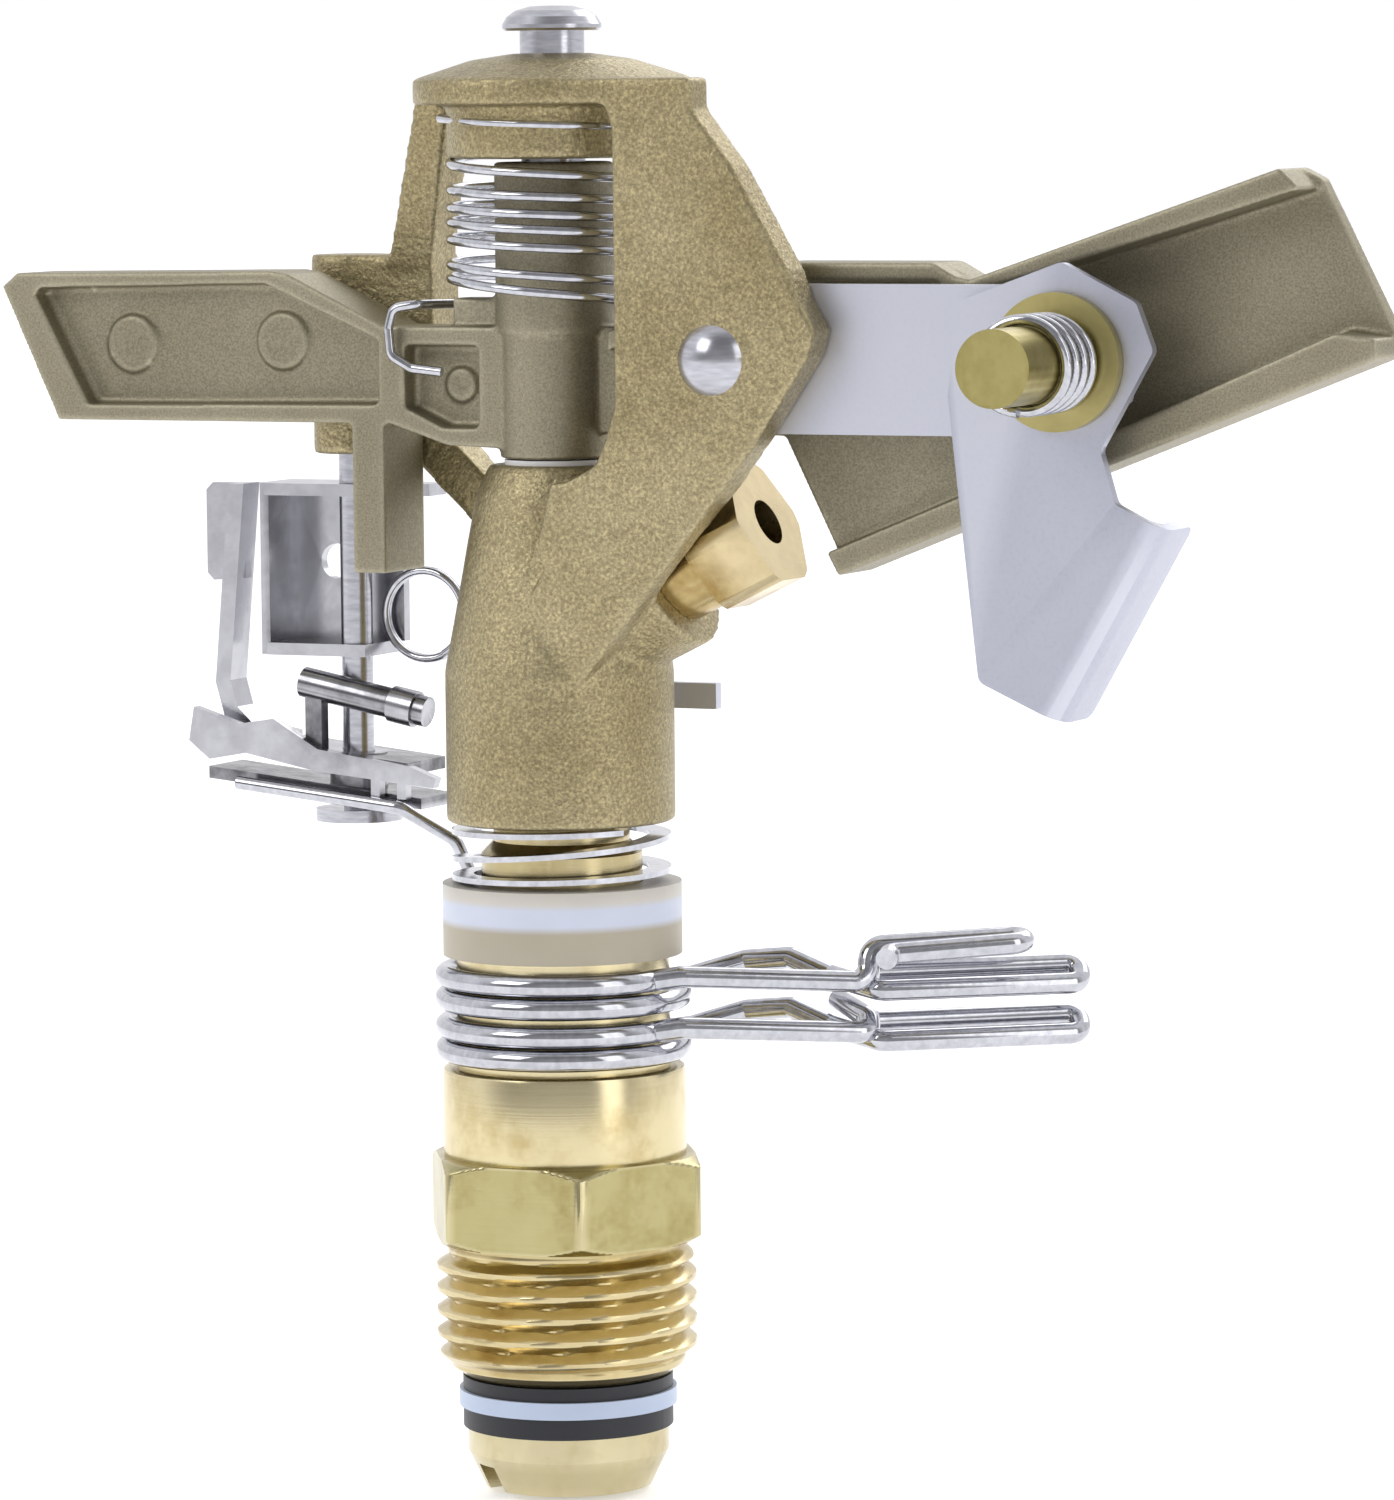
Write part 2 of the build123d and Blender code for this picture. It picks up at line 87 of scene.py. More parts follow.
class Shader:
    """A principled material with short calls for its procedural nodes."""

    def __init__(self, name, color, roughness, metallic=1.0):
        self.material = bpy.data.materials.new(name)
        self.material.use_nodes = True
        self.tree = self.material.node_tree
        self.bsdf = self.tree.nodes["Principled BSDF"]
        self.bsdf.inputs["Base Color"].default_value = (*color, 1)
        self.bsdf.inputs["Roughness"].default_value = roughness
        self.bsdf.inputs["Metallic"].default_value = metallic
        self.place = self.tree.nodes.new("ShaderNodeTexCoord").outputs["Object"]
        self.height = None

    def link(self, a, b):
        self.tree.links.new(a, b)

    def noise(self, scale, detail=4, rough=0.55, stretch=None):
        source = self.place
        if stretch:
            mapping = self.tree.nodes.new("ShaderNodeMapping")
            mapping.inputs["Scale"].default_value = stretch
            self.link(self.place, mapping.inputs["Vector"])
            source = mapping.outputs["Vector"]
        node = self.tree.nodes.new("ShaderNodeTexNoise")
        node.inputs["Scale"].default_value = scale
        node.inputs["Detail"].default_value = detail
        node.inputs["Roughness"].default_value = rough
        self.link(source, node.inputs["Vector"])
        return node.outputs["Fac"]

    def ramp(self, value, stops):
        node = self.tree.nodes.new("ShaderNodeValToRGB")
        elements = node.color_ramp.elements
        while len(elements) < len(stops):
            elements.new(0.5)
        for element, (position, color) in zip(elements, stops):
            element.position = position
            element.color = (*color, 1)
        self.link(value, node.inputs["Fac"])
        return node.outputs["Color"]

    def zones(self, stops):
        """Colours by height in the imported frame, in millimetres, as (height, colour) from low to high."""
        low, high = stops[0][0], stops[-1][0]
        parts = self.tree.nodes.new("ShaderNodeSeparateXYZ")
        self.link(self.place, parts.inputs["Vector"])
        span = self.tree.nodes.new("ShaderNodeMapRange")
        span.inputs["From Min"].default_value = low * MM
        span.inputs["From Max"].default_value = high * MM
        self.link(parts.outputs["Z"], span.inputs["Value"])
        return self.ramp(span.outputs["Result"], [((z - low) / (high - low), c) for z, c in stops])

    def mix(self, factor, a, b, mode="MIX"):
        node = self.tree.nodes.new("ShaderNodeMix")
        node.data_type = "RGBA"
        node.blend_type = mode
        for socket, value in ((node.inputs[0], factor), (node.inputs[6], a), (node.inputs[7], b)):
            if isinstance(value, (int, float)):
                socket.default_value = value
            elif isinstance(value, tuple):
                socket.default_value = (*value, 1)
            else:
                self.link(value, socket)
        return node.outputs[2]

    def color(self, value):
        self.link(value, self.bsdf.inputs["Base Color"])

    def roughness(self, value, low, high):
        node = self.tree.nodes.new("ShaderNodeMapRange")
        node.inputs["To Min"].default_value = low
        node.inputs["To Max"].default_value = high
        self.link(value, node.inputs["Value"])
        self.link(node.outputs["Result"], self.bsdf.inputs["Roughness"])

    def bump(self, value, strength, distance_mm):
        node = self.tree.nodes.new("ShaderNodeBump")
        node.inputs["Strength"].default_value = strength
        node.inputs["Distance"].default_value = distance_mm * MM
        self.link(value, node.inputs["Height"])
        if self.height:
            self.link(self.height, node.inputs["Normal"])
        self.height = node.outputs["Normal"]
        self.link(self.height, self.bsdf.inputs["Normal"])

    def edges(self, base, highlight_color, amount=0.5):
        """Paints a highlight: mixes a lighter colour onto the convex corners, found by pointiness."""
        geometry = self.tree.nodes.new("ShaderNodeNewGeometry")
        highlight_mask = self.ramp(geometry.outputs["Pointiness"], [(0.50, (0, 0, 0)), (0.58, (amount,) * 3)])
        return self.mix(highlight_mask, base, highlight_color)


# The colour and amount that each material passes to edges() are its painted highlight on convex corners.
def cast_bronze():
    """Sand-cast tan bronze: fine grain with bright sparkles."""
    s = Shader("cast_bronze", (0.335, 0.29, 0.175), 0.42, 0.85)
    grain = s.noise(3900, 5, 0.65)
    pits = s.noise(1500, 3, 0.55)
    cloud = s.noise(85, 3)
    tone = s.ramp(cloud, [(0.3, (0.285, 0.236, 0.125)), (0.7, (0.40, 0.343, 0.205))])
    speck = s.ramp(grain, [(0.36, (0.68, 0.66, 0.62)), (0.52, (1, 1, 1)), (0.66, (1.5, 1.47, 1.36))])
    s.color(s.edges(s.mix(1.0, tone, speck, "MULTIPLY"), (0.52, 0.46, 0.30), 0.3))
    s.roughness(grain, 0.54, 0.26)
    s.bump(pits, 0.7, 0.2)
    s.bump(grain, 0.6, 0.09)
    return s.material


def arm_bronze():
    """Die-cast khaki bronze: fine, even and matte."""
    s = Shader("arm_bronze", (0.29, 0.262, 0.19), 0.5, 0.8)
    grain = s.noise(5600, 3, 0.6)
    cloud = s.noise(70, 4)
    tone = s.ramp(cloud, [(0.3, (0.245, 0.22, 0.155)), (0.7, (0.325, 0.295, 0.215))])
    speck = s.ramp(grain, [(0.36, (0.80, 0.79, 0.77)), (0.66, (1.2, 1.2, 1.18))])
    s.color(s.edges(s.mix(1.0, tone, speck, "MULTIPLY"), (0.52, 0.48, 0.36), 0.6))
    s.roughness(grain, 0.58, 0.42)
    s.bump(grain, 0.35, 0.04)
    return s.material


def machined_brass():
    """Turned brass: bright, with fine tool rings, golden thread roots and a duller hexagon."""
    s = Shader("machined_brass", (0.76, 0.66, 0.40), 0.24)
    rings = s.noise(900, 3, 0.5, (0.04, 0.04, 6.0))
    stain = s.noise(150, 6, 0.65)
    end, thread, hexagon = (0.50, 0.44, 0.26), (0.57, 0.47, 0.25), (0.435, 0.385, 0.185)
    shoulder, upper = (0.66, 0.57, 0.34), (0.47, 0.39, 0.21)
    zone = s.zones([(-12, end), (-2.4, end), (-2.0, thread), (8.2, thread), (8.7, hexagon), (15.4, hexagon),
                    (15.8, shoulder), (34, shoulder), (38, upper), (80, upper)])
    tint = s.ramp(stain, [(0.34, (0.80, 0.74, 0.62)), (0.5, (1, 1, 1)), (0.8, (1.06, 1.08, 1.16))])
    s.color(s.edges(s.mix(1.0, zone, tint, "MULTIPLY"), (0.80, 0.72, 0.50), 0.4))
    s.roughness(stain, 0.32, 0.17)
    s.bump(rings, 0.16, 0.03)
    s.bump(s.noise(1300, 4, 0.7), 0.08, 0.03)
    return s.material


def nozzle_brass():
    """The nozzle's brass: golden, browner where it has stood in water."""
    s = Shader("nozzle_brass", (0.42, 0.31, 0.12), 0.26)
    stain = s.noise(300, 5, 0.6)
    s.color(s.edges(s.ramp(stain, [(0.34, (0.29, 0.19, 0.06)), (0.62, (0.50, 0.385, 0.18))]),
                    (0.74, 0.64, 0.42), 0.5))
    s.roughness(stain, 0.34, 0.16)
    s.bump(stain, 0.1, 0.03)
    return s.material


def yellow_brass():
    """The screw's and its washer's plain yellow brass, dulled in patches."""
    s = Shader("yellow_brass", (0.58, 0.49, 0.17), 0.34)
    stain = s.noise(420, 5, 0.6)
    s.color(s.edges(s.ramp(stain, [(0.32, (0.25, 0.20, 0.06)), (0.62, (0.38, 0.325, 0.12))]),
                    (0.56, 0.49, 0.22), 0.5))
    s.roughness(stain, 0.48, 0.28)
    s.bump(stain, 0.25, 0.04)
    return s.material


def sheet_steel():
    """Tumbled stainless sheet: pale lilac grey with small scuffs."""
    s = Shader("sheet_steel", (0.36, 0.37, 0.45), 0.4, 0.85)
    scuff = s.noise(2600, 5, 0.7)
    cloud = s.noise(90, 3)
    tone = s.ramp(cloud, [(0.3, (0.335, 0.345, 0.425)), (0.7, (0.385, 0.395, 0.475))])
    mark = s.ramp(scuff, [(0.3, (0.86, 0.86, 0.87)), (0.5, (1, 1, 1))])
    s.color(s.edges(s.mix(1.0, tone, mark, "MULTIPLY"), (0.66, 0.67, 0.74), 0.7))
    s.roughness(scuff, 0.5, 0.34)
    s.bump(scuff, 0.12, 0.02)
    return s.material


def trip_steel():
    """The trip gear's sheet: the same stainless, polished, painted darker and mottled dark as painted shade.
    """
    s = Shader("trip_steel", (0.30, 0.30, 0.315), 0.24)
    # Painted shade: this noise darkens the colour in patches, down to near black.
    shade_mottle = s.noise(420, 5, 0.6)
    s.color(s.edges(s.ramp(shade_mottle, [(0.34, (0.10, 0.10, 0.105)), (0.62, (0.27, 0.27, 0.285))]),
                    (0.66, 0.66, 0.70), 0.6))
    s.roughness(shade_mottle, 0.34, 0.13)
    s.bump(shade_mottle, 0.2, 0.05)
    return s.material


def polished_wire():
    """Drawn stainless spring wire, bright and smooth."""
    s = Shader("polished_wire", (0.74, 0.745, 0.79), 0.15)
    drawn = s.noise(1400, 3)
    s.color(s.ramp(drawn, [(0.3, (0.43, 0.435, 0.47)), (0.7, (0.56, 0.565, 0.60))]))
    s.roughness(drawn, 0.17, 0.08)
    return s.material


def pin_steel():
    """Turned stainless, with faint rings."""
    s = Shader("pin_steel", (0.66, 0.66, 0.70), 0.22)
    turned = s.noise(700, 3, 0.5, (1, 1, 5))
    s.color(s.ramp(turned, [(0.3, (0.40, 0.40, 0.44)), (0.7, (0.52, 0.52, 0.56))]))
    s.roughness(turned, 0.30, 0.16)
    s.bump(turned, 0.1, 0.02)
    return s.material


def plastic(name, color, roughness, transmission=0.0, scatter=0.0, bands=None):
    """Moulded plastic, with bands of other colours where something shows through it."""
    s = Shader(name, color, roughness, 0.0)
    cloud = s.noise(160, 4)
    tint = s.ramp(cloud, [(0.3, (0.93, 0.93, 0.93)), (0.7, (1, 1, 1))])
    s.color(s.mix(1.0, s.zones(bands) if bands else color, tint, "MULTIPLY"))
    s.roughness(cloud, roughness + 0.06, roughness - 0.04)
    s.bump(s.noise(1900, 3), 0.1, 0.02)
    s.bsdf.inputs["Transmission Weight"].default_value = transmission
    s.bsdf.inputs["Subsurface Weight"].default_value = scatter
    s.bsdf.inputs["Subsurface Radius"].default_value = (0.002, 0.002, 0.002)
    return s.material


# The hood's colours by height: the white band is the liner showing through.
HOOD_BEIGE, HOOD_WHITE = (0.56, 0.525, 0.465), (0.66, 0.70, 0.82)
HOOD_BANDS = [(29.0, (0.50, 0.455, 0.36)), (34.2, (0.47, 0.42, 0.32)), (34.8, HOOD_WHITE),
              (36.1, HOOD_WHITE), (36.6, (0.66, 0.63, 0.57)), (37.8, HOOD_BEIGE)]

MATERIALS = {
    "cast_bronze": cast_bronze(),
    "arm_bronze": arm_bronze(),
    "machined_brass": machined_brass(),
    "nozzle_brass": nozzle_brass(),
    "yellow_brass": yellow_brass(),
    "sheet_steel": sheet_steel(),
    "trip_steel": trip_steel(),
    "polished_wire": polished_wire(),
    "pin_steel": pin_steel(),
    "nylon_clear": plastic("nylon_clear", HOOD_BEIGE, 0.38, 0.1, 0.25, HOOD_BANDS),
    "nylon_white": plastic("nylon_white", (0.90, 0.90, 0.93), 0.40, 0.0, 0.2),
    "black_rubber": plastic("black_rubber", (0.012, 0.013, 0.018), 0.45),
    "white_ptfe": plastic("white_ptfe", (0.50, 0.58, 0.74), 0.42, 0.0, 0.1),
}


# ---------- pieces ----------

def dress(obj, slot, look=None):
    """Gives a piece the material named after its record slot, or the material of another look."""
    obj.data.materials.clear()
    obj.data.materials.append(MATERIALS[look or slot])


def mesh_object(name, verts, faces, slot, sharp=35):
    """A dressed object from points in millimetres, with edges over `sharp` degrees kept crisp."""
    mesh = bpy.data.meshes.new(name)
    mesh.from_pydata([(v[0] * MM, v[1] * MM, (v[2] + NIPPLE_END) * MM) for v in verts], [], faces)
    mesh.validate()
    mesh.shade_smooth()
    mesh.set_sharp_from_angle(angle=math.radians(sharp))
    obj = bpy.data.objects.new(name, mesh)
    bpy.context.scene.collection.objects.link(obj)
    dress(obj, slot)
    return obj


def tube(name, points, radius, slot, sides=20):
    """A round wire of closed ends along a list of points."""
    path = [Vector(p) for p in points]
    verts, faces = [], []
    tangent = (path[1] - path[0]).normalized()
    normal = tangent.orthogonal().normalized()
    for i, point in enumerate(path):
        after = path[min(i + 1, len(path) - 1)]
        before = path[max(i - 1, 0)]
        turn = tangent.rotation_difference((after - before).normalized())
        tangent = (after - before).normalized()
        normal = (turn @ normal).normalized()
        side = tangent.cross(normal)
        for k in range(sides):
            a = 2 * math.pi * k / sides
            verts.append(point + (normal * math.cos(a) + side * math.sin(a)) * radius)
    for i in range(len(path) - 1):
        for k in range(sides):
            n = (k + 1) % sides
            faces.append((i * sides + k, i * sides + n, (i + 1) * sides + n, (i + 1) * sides + k))
    faces.append(tuple(reversed(range(sides))))
    faces.append(tuple(range((len(path) - 1) * sides, len(path) * sides)))
    return mesh_object(name, verts, faces, slot)


MOST_OF_RUN = 0.48


def rounded(points, radius, steps=7, closed=False):
    """A polyline with an arc at each corner. The radius is cut down where a run is short."""
    p = [Vector(q) for q in points]
    out = [] if closed else [p[0]]
    for i in range(len(p) if closed else len(p) - 2):
        a, b, c = (p[i - 1], p[i], p[(i + 1) % len(p)]) if closed else (p[i], p[i + 1], p[i + 2])
        back, on = a - b, c - b
        half = back.angle(on) / 2
        reach = min(radius / math.tan(half), back.length * MOST_OF_RUN, on.length * MOST_OF_RUN)
        centre = b + (back.normalized() + on.normalized()).normalized() * (reach / math.cos(half))
        first = b + back.normalized() * reach - centre
        turn = first.rotation_difference(b + on.normalized() * reach - centre)
        for k in range(steps + 1):
            out.append(centre + Quaternion().slerp(turn, k / steps) @ first)
    return out if closed else out + [p[-1]]


def between(keys, t):
    """The value at t on straight lines between (position, value) keys."""
    for (t0, v0), (t1, v1) in zip(keys, keys[1:]):
        if t <= t1:
            return v0 + (v1 - v0) * ((t - t0) / (t1 - t0))
    return keys[-1][1]


def around(radius, angle, z):
    """A point at a radius and an angle in degrees about the riser axis."""
    return (radius * math.cos(math.radians(angle)), radius * math.sin(math.radians(angle)), z)


def cast_skin(node, slot, voxel_mm, rounds):
    """Stands for a CAD casting with its corners softened, as metal comes out of a mould."""
    source = nodes[node]
    obj = bpy.data.objects.new(node + "_skin", source.data.copy())
    bpy.context.scene.collection.objects.link(obj)
    remesh = obj.modifiers.new("remesh", "REMESH")
    remesh.mode = "VOXEL"
    remesh.voxel_size = voxel_mm * MM
    soften = obj.modifiers.new("soften", "SMOOTH")
    soften.iterations = rounds
    soften.factor = 0.5
    evaluated = obj.evaluated_get(bpy.context.evaluated_depsgraph_get())
    mesh = bpy.data.meshes.new_from_object(evaluated)
    obj.modifiers.clear()
    obj.data = mesh
    mesh.shade_smooth()
    dress(obj, slot)
    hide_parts(node)
    return obj


# Nodes whose material isn't the one named after their slot.
# trip_steel is the sheet stainless painted darker, as painted shade.
LOOKS = {"trip_latch": "trip_steel", "trip_lever": "trip_steel", "nozzle": "nozzle_brass"}
for part in frame["record"]["subparts"]:
    dress(nodes[part["node"]], part["material_slot"], LOOKS.get(part["node"]))

EDGE_ROUND = 0.14
for name in ("deflector_strap", "deflector_flap", "trip_latch", "trip_lever", "rear_stop_tab", "nozzle",
             "deflector_washer", "deflector_screw", "seal_washer_lower", "seal_washer_middle",
             "seal_washer_upper", "bearing_hood", "stem_tube", "fulcrum_pin"):
    bevel = nodes[name].modifiers.new("edge", "BEVEL")
    bevel.width = EDGE_ROUND * MM
    bevel.segments = 2
    bevel.limit_method = "ANGLE"
    bevel.angle_limit = math.radians(40)

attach(cast_skin("body_casting", "cast_bronze", 0.3, 7), "rotor")
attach(cast_skin("drive_arm", "arm_bronze", 0.22, 3), "arm")


def arm_return_spring():
    """Coils about the hub, lower at their right side, with the end hooked in front of the counterweight."""
    left_side = 205
    half_turn_heights = [101.1, 100.1, 97.5, 95.9, 95.5, 94.3, 94.1, 92.9, 92.95, 91.6, 91.6, 90.15,
                         89.6, 87.7, 88.6, 86.0, 86.2]
    coil_turns, per_turn = 8, 40
    coil_r, growth, wire_r, hook_bend = 8.95, 0.012, 0.39, 0.9
    spread = 4
    keys = [(i / 2, z) for i, z in enumerate(half_turn_heights)]
    coil = []
    for i in range(coil_turns * per_turn - 1):
        turns = i / per_turn
        coil.append(around(coil_r + growth * turns, left_side + 360 * turns, between(keys, turns)))
    soft = [coil[0]]
    for i in range(spread, len(coil) - spread):
        near = coil[i - spread:i + spread + 1]
        soft.append(tuple(sum(c) / len(near) for c in zip(*near)))
    hook = [soft[-1], (-10.6, -3.6, 86.3), (-12.5, -4.0, 86.0), (-12.9, -4.1, 84.4), (-12.7, -4.1, 82.2),
            (-10.9, -4.0, 81.2), (-8.3, -3.8, 80.9)]
    obj = tube("arm_return_spring", soft[:-1] + rounded(hook, hook_bend), wire_r, "polished_wire", 14)
    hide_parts("arm_spring")
    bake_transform(obj)


COLLAR_R, COLLAR_WIRE, COLLAR_PITCH = 9.5, 0.88, 1.86
RING_START, RING_STEP, RING_POINTS = 75, 5, 127
CROSSOVER_START, CROSSOVER_SPAN = 395, 80


def friction_collar(node, body, front_z, raised, hairpin_z):
    """Two level turns of wire, stepped at the back, whose ends cross and run out to finger loops."""
    ring = []
    for i in range(RING_POINTS):
        angle = RING_START + RING_STEP * i
        u = min(max((angle - CROSSOVER_START) / CROSSOVER_SPAN, 0), 1)
        ring.append(around(COLLAR_R, angle, front_z + COLLAR_PITCH * u * u * (3 - 2 * u)))
    start, end = ring[0], ring[-1]
    z = hairpin_z
    hairpin = [(23.0, 10.4, z + 1.35), (35.9, 21.7, z + 1.25), (36.9, 19.8, z - 0.1), (24.0, 8.8, z)]
    hump = [(18.6, 11.2, z + 0.7), (14.6, 12.2, z + 1.9), (10.6, 12.2, z + 1.5), (6.5, 10.6, z + 0.2), start]
    lead = rounded(hairpin + hump, 1.15)
    front = [end, (11.2, -1.6, end[2] + 0.3), (23.2, 8.2, z + 0.75)] + raised
    obj = tube(node + "_wire", lead[:-1] + ring[:-1] + rounded(front, 1.3), COLLAR_WIRE, "polished_wire")
    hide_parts(node)
    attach(obj, body)


def polar_solid(name, rows, slot, count=240):
    """A closed solid about the riser axis. Each row is a height and a radius, or a radius by angle."""
    verts, faces = [], []
    for z, radius in rows:
        for k in range(count):
            a = 360 * k / count
            verts.append(around(radius(a) if callable(radius) else radius, a, z))
    for i in range(len(rows)):
        j = (i + 1) % len(rows)
        for k in range(count):
            n = (k + 1) % count
            faces.append((i * count + k, i * count + n, j * count + n, j * count + k))
    return mesh_object(name, verts, faces, slot)


def inlet():
    """The nipple with a helical thread, chamfered hexagon, shoulder and sleeve."""
    bore, root, depth, pitch, first = 6.55, 9.4, 1.1, 25.4 / 14, 1.5
    hex_z0, hex_z1, flat, corner, chamfer, fall = 11.0, 17.9, 10.3, 11.9, 0.75, 1.3
    hex_turn, chamfer_steps = 2, 6
    thread_low, thread_step, thread_rows = 0.8, 0.15, 67

    def thread(z):
        fade = max(0.0, min(1.0, (z - 0.9) / 1.1, (10.6 - z) / 1.2))

        def radius(angle):
            phase = ((z - first) / pitch - angle / 360) % 1
            return root + depth * fade * min(1.0, 1.3 * (1 - abs(2 * phase - 1)))
        return radius

    def hexagon(cut):
        def radius(angle):
            return min(flat / math.cos(math.radians((angle - hex_turn) % 60 - 30)), cut)
        return radius

    rows = [(0, bore), (0, 8.3), (0.25, 8.6), (0.7, 9.25)]
    for i in range(thread_rows):
        z = thread_low + thread_step * i
        rows.append((z, thread(z)))
    rows += [(hex_z0, 9.5)]
    cuts = [(chamfer * i / chamfer_steps, hexagon(corner - fall * (1 - i / chamfer_steps)))
            for i in range(chamfer_steps + 1)]
    rows += [(hex_z0 + rise, cut) for rise, cut in cuts]
    rows += [(hex_z1 - rise, cut) for rise, cut in reversed(cuts)]
    rows += [(hex_z1, 9.75), (18.3, 9.8), (24.6, 9.8), (24.9, 9.7), (25.05, 9.4), (25.05, 8.6),
             (36.2, 8.55), (36.2, bore)]
    obj = polar_solid("inlet_nipple_turned", rows, "machined_brass")
    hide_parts("inlet_nipple")
    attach(obj, "base")


def overcentre_rings():
    """The over-centre spring: two close turns of bright wire, one behind the other."""
    centre_x, centre_z, front_y, ring_r, rise, wire_r = -16.9, 60.3, 9.25, 3.65, 0.72, 0.34
    first_angle, whole_angle, steps = -60, 720, 96
    turn = []
    for i in range(steps + 1):
        angle = math.radians(first_angle + whole_angle * i / steps)
        turn.append((centre_x + ring_r * math.cos(angle), front_y + rise * i / steps,
                     centre_z + ring_r * math.sin(angle)))
    obj = tube("overcentre_spring_wire", turn, wire_r, "polished_wire", 14)
    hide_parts("overcentre_spring")
    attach(obj, "latch")


def flat_wire_spring():
    """The stem spring: flat wire wound on edge, close at both ends."""
    keys = [(0, 40.25), (1.0, 41.25), (1.6, 43.5), (2.5, 44.45)]
    inner, outer, half = 7.1, 8.84, 0.22
    first_angle, all_turns, count = 150, 2.5, 160
    verts, faces = [], []
    for i in range(count + 1):
        turns = all_turns * i / count
        z = between(keys, turns)
        angle = first_angle + 360 * turns
        for radius, lift in ((inner, -half), (outer, -half), (outer, half), (inner, half)):
            verts.append(around(radius, angle, z + lift))
    for i in range(count):
        for k in range(4):
            n = (k + 1) % 4
            faces.append((4 * i + k, 4 * i + n, 4 * i + 4 + n, 4 * i + 4 + k))
    faces.append((3, 2, 1, 0))
    faces.append(tuple(4 * count + k for k in range(4)))
    obj = mesh_object("stem_spring_flat_wire", verts, faces, "polished_wire")
    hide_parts("stem_spring")
    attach(obj, "rotor")


def bent_flap():
    """The deflector flap: one sheet, folded back along its right edge with a rounded bend."""
    front_y, thickness, corner_r, bend_steps = -6.85, 0.95, 0.9, 10
    top, bottom = Vector((54.7, front_y, 69.4)), Vector((46.1, front_y, 54.4))
    outward = Vector((top.z - bottom.z, 0, bottom.x - top.x)).normalized()
    bend, fold = 2.0, 5.4
    upper = [(46.4, 89.9), (52.5, 86.8), (53.9, 83.1), (49.5, 75.5), (50.7, 71.4)]
    left = [(39.3, 57.5), (36.9, 79.6), (37.9, 86.9)]
    outline = [Vector((x, front_y, z)) for x, z in upper]
    outline += [top, top + outward * fold, bottom + outward * fold, bottom]
    outline += [Vector((x, front_y, z)) for x, z in left]
    work = bmesh.new()
    work.faces.new([work.verts.new(p) for p in rounded(outline, corner_r, 4, closed=True)])
    for k in range(bend_steps + 1):
        place = top + outward * (bend * math.pi / 2 * k / bend_steps - bend)
        bmesh.ops.bisect_plane(work, geom=work.verts[:] + work.edges[:] + work.faces[:], plane_co=place,
                               plane_no=outward)
    for v in work.verts:
        past = (v.co - top).dot(outward) + bend
        if past > 0:
            angle = min(past / bend, math.pi / 2)
            depth = bend * (1 - math.cos(angle)) + max(0, past - bend * math.pi / 2)
            v.co += outward * (bend * math.sin(angle) - past) + Vector((0, depth, 0))
    bmesh.ops.recalc_face_normals(work, faces=work.faces[:])
    if max(work.faces, key=lambda f: f.calc_area()).normal.y > 0:
        bmesh.ops.reverse_faces(work, faces=work.faces[:])
    work.verts.index_update()
    verts = [tuple(v.co) for v in work.verts]
    faces = [[v.index for v in f.verts] for f in work.faces]
    work.free()
    obj = mesh_object("deflector_flap_bent", verts, faces, "sheet_steel", 30)
    thick = obj.modifiers.new("thick", "SOLIDIFY")
    thick.thickness = thickness * MM
    thick.offset = -1
    edge = obj.modifiers.new("edge", "BEVEL")
    edge.width = 0.12 * MM
    edge.segments = 2
    edge.angle_limit = math.radians(50)
    flat = obj.modifiers.new("flat", "WEIGHTED_NORMAL")
    flat.keep_sharp = True
    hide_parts("deflector_flap")
    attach(obj, "flap")


arm_return_spring()
friction_collar("collar_upper", "upper_collar", 30.6,
                [(23.0, 8.9, 34.5), (33.2, 16.3, 34.9), (34.4, 14.2, 34.7), (25.3, 7.6, 34.15),
                 (25.7, 6.2, 33.9)], 31.0)
friction_collar("collar_lower", "lower_collar", 26.5, [(22.6, 9.4, 28.7), (18.6, 12.6, 29.6)], 26.9)
inlet()
overcentre_rings()
flat_wire_spring()
bent_flap()


# ---------- stage ----------

def camera():
    turn, tilt, roll = (math.radians(a) for a in (CAMERA_TURN, CAMERA_TILT, CAMERA_ROLL))
    right = Vector((math.cos(turn), math.sin(turn), 0))
    ahead = Vector((-math.sin(turn) * math.cos(tilt), math.cos(turn) * math.cos(tilt), -math.sin(tilt)))
    up = right.cross(ahead)
    right, up = (right * math.cos(roll) - up * math.sin(roll),
                 right * math.sin(roll) + up * math.cos(roll))
    place = Vector((CAMERA_SIDE * math.cos(turn) + CAMERA_DISTANCE * math.sin(turn),
                    CAMERA_SIDE * math.sin(turn) - CAMERA_DISTANCE * math.cos(turn),
                    CAMERA_HEIGHT + NIPPLE_END)) * MM
    data = bpy.data.cameras.new("camera")
    data.sensor_fit = "VERTICAL"
    data.sensor_height = 36
    data.lens = LENS_MM
    data.clip_start = 0.01
    obj = bpy.data.objects.new("camera", data)
    bpy.context.scene.collection.objects.link(obj)
    obj.matrix_world = Matrix.Translation(place) @ Matrix((right, up, -ahead)).transposed().to_4x4()
    bpy.context.scene.camera = obj


def lamp(name, place, size, watts):
    """A soft rectangular light, placed in metres and aimed at the middle of the object."""
    data = bpy.data.lights.new(name, "AREA")
    data.shape = "RECTANGLE"
    data.size, data.size_y = size
    data.energy = watts
    obj = bpy.data.objects.new(name, data)
    bpy.context.scene.collection.objects.link(obj)
    obj.location = place
    obj.rotation_euler = (Vector((0, 0, 0.05)) - Vector(place)).to_track_quat("-Z", "Y").to_euler()


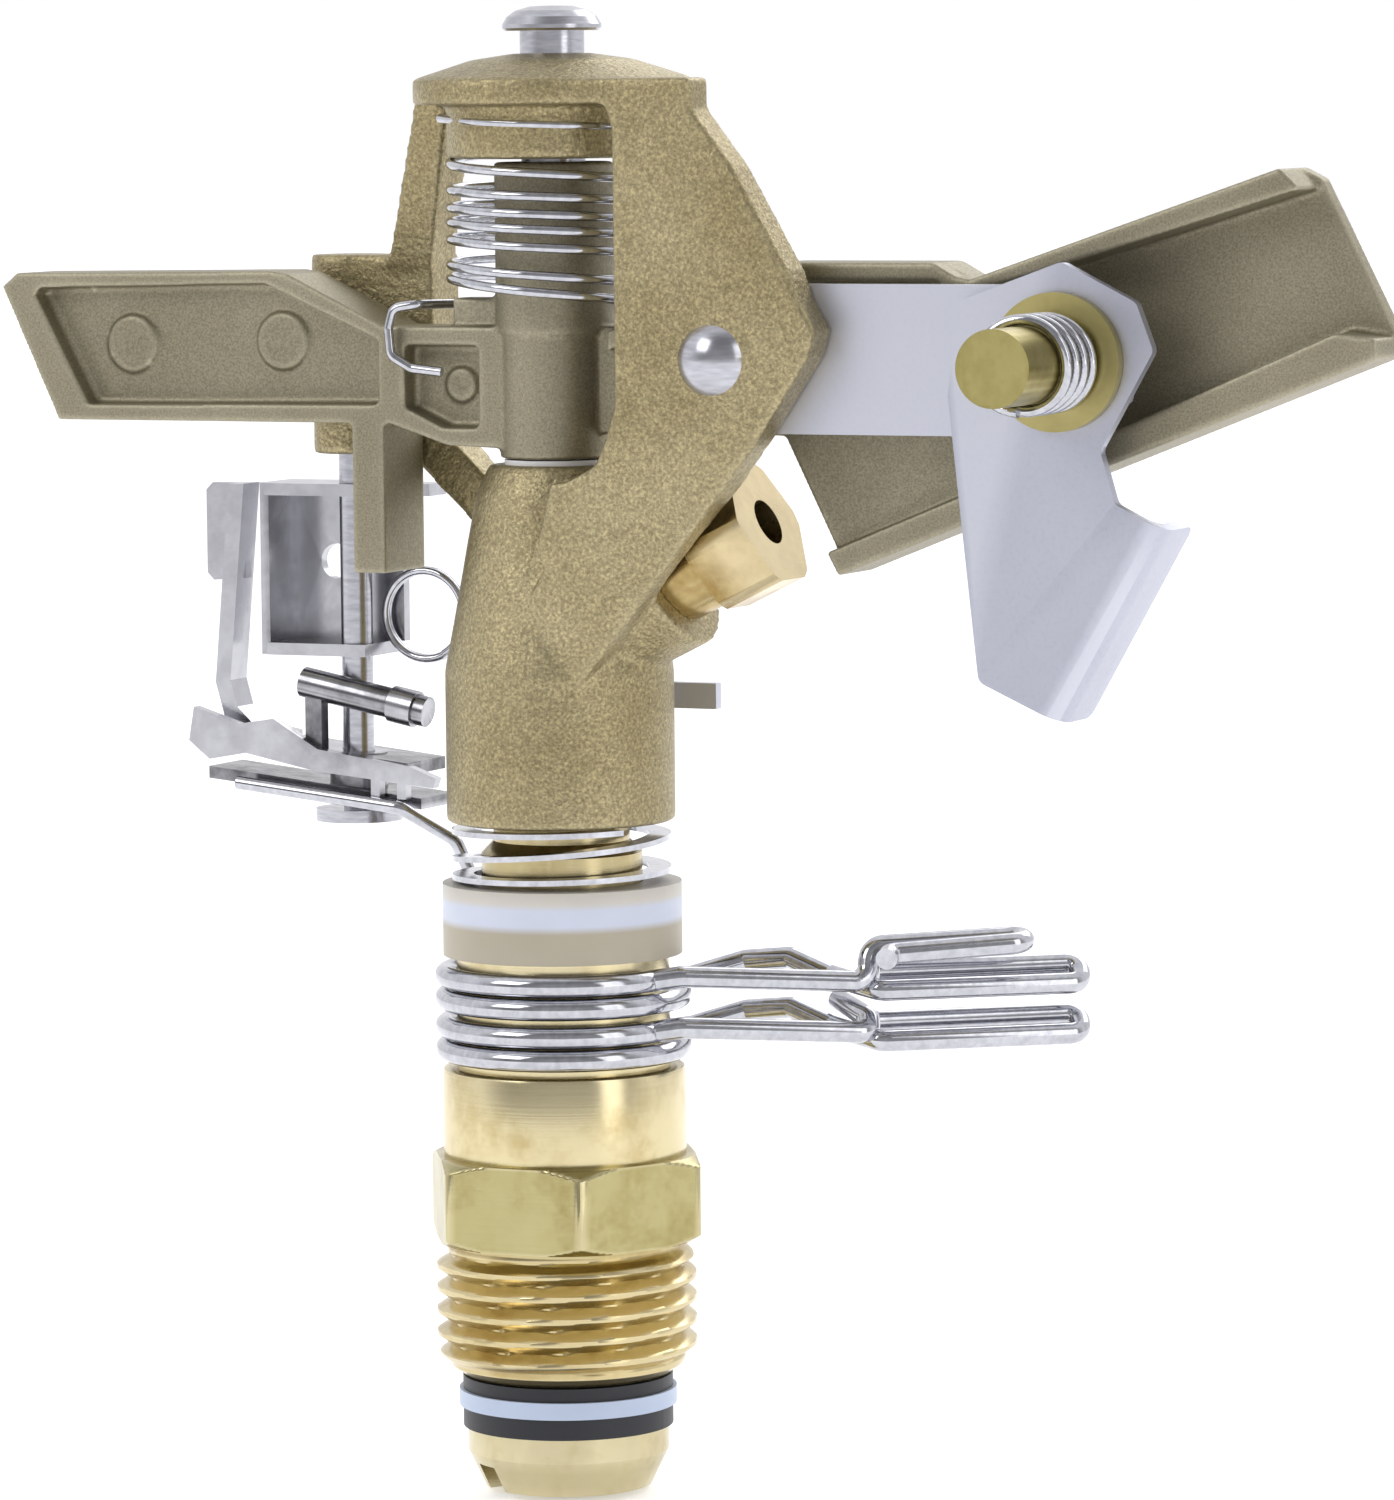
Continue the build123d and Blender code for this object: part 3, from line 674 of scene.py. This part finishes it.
def studio():
    """A light tent: white behind the object, dimmer on the side that the camera starts from."""
    world = bpy.data.worlds.new("studio")
    world.use_nodes = True
    tree = world.node_tree
    place = tree.nodes.new("ShaderNodeTexCoord")
    facing = tree.nodes.new("ShaderNodeVectorMath")
    facing.operation = "DOT_PRODUCT"
    turn = math.radians(CAMERA_TURN)
    facing.inputs[1].default_value = (math.sin(turn), -math.cos(turn), 0.0)
    ramp = tree.nodes.new("ShaderNodeValToRGB")
    stops = [(0.0, 1.0), (0.55, 1.0), (0.68, 0.55), (0.8, 0.26), (1.0, 0.46)]
    while len(ramp.color_ramp.elements) < len(stops):
        ramp.color_ramp.elements.new(0.5)
    for element, (position, level) in zip(ramp.color_ramp.elements, stops):
        element.position = position
        element.color = (level, level, level * 1.02, 1)
    span = tree.nodes.new("ShaderNodeMapRange")
    span.inputs["From Min"].default_value = -1
    tree.links.new(place.outputs["Generated"], facing.inputs[0])
    tree.links.new(facing.outputs["Value"], span.inputs["Value"])
    tree.links.new(span.outputs["Result"], ramp.inputs["Fac"])
    tree.links.new(ramp.outputs["Color"], tree.nodes["Background"].inputs["Color"])
    bpy.context.scene.world = world


def stage():
    """A pale floor just under the object, the light tent and three soft lamps."""
    floor_gap = 0.5 * MM
    bpy.ops.mesh.primitive_plane_add(size=8, location=(0, 0, cad_box[0][2] - floor_gap))
    floor = bpy.context.object
    floor.name = "floor"
    shade = Shader("floor_white", (0.9, 0.9, 0.91), 0.6, 0.0)
    shade.color(shade.ramp(shade.noise(3), [(0.3, (0.88, 0.88, 0.89)), (0.7, (0.91, 0.91, 0.92))]))
    shade.bsdf.inputs["Emission Color"].default_value = (1, 1, 1, 1)
    shade.bsdf.inputs["Emission Strength"].default_value = 0.4
    floor.data.materials.append(shade.material)
    studio()
    bpy.context.scene.view_settings.view_transform = "Standard"
    lamp("key", (-0.35, -0.6, 0.55), (0.4, 0.4), 1.9)
    lamp("fill", (0.75, -0.25, 0.3), (0.3, 0.7), 1.1)
    lamp("back", (0.1, 0.6, 0.5), (0.6, 0.4), 1.5)


camera()
stage()
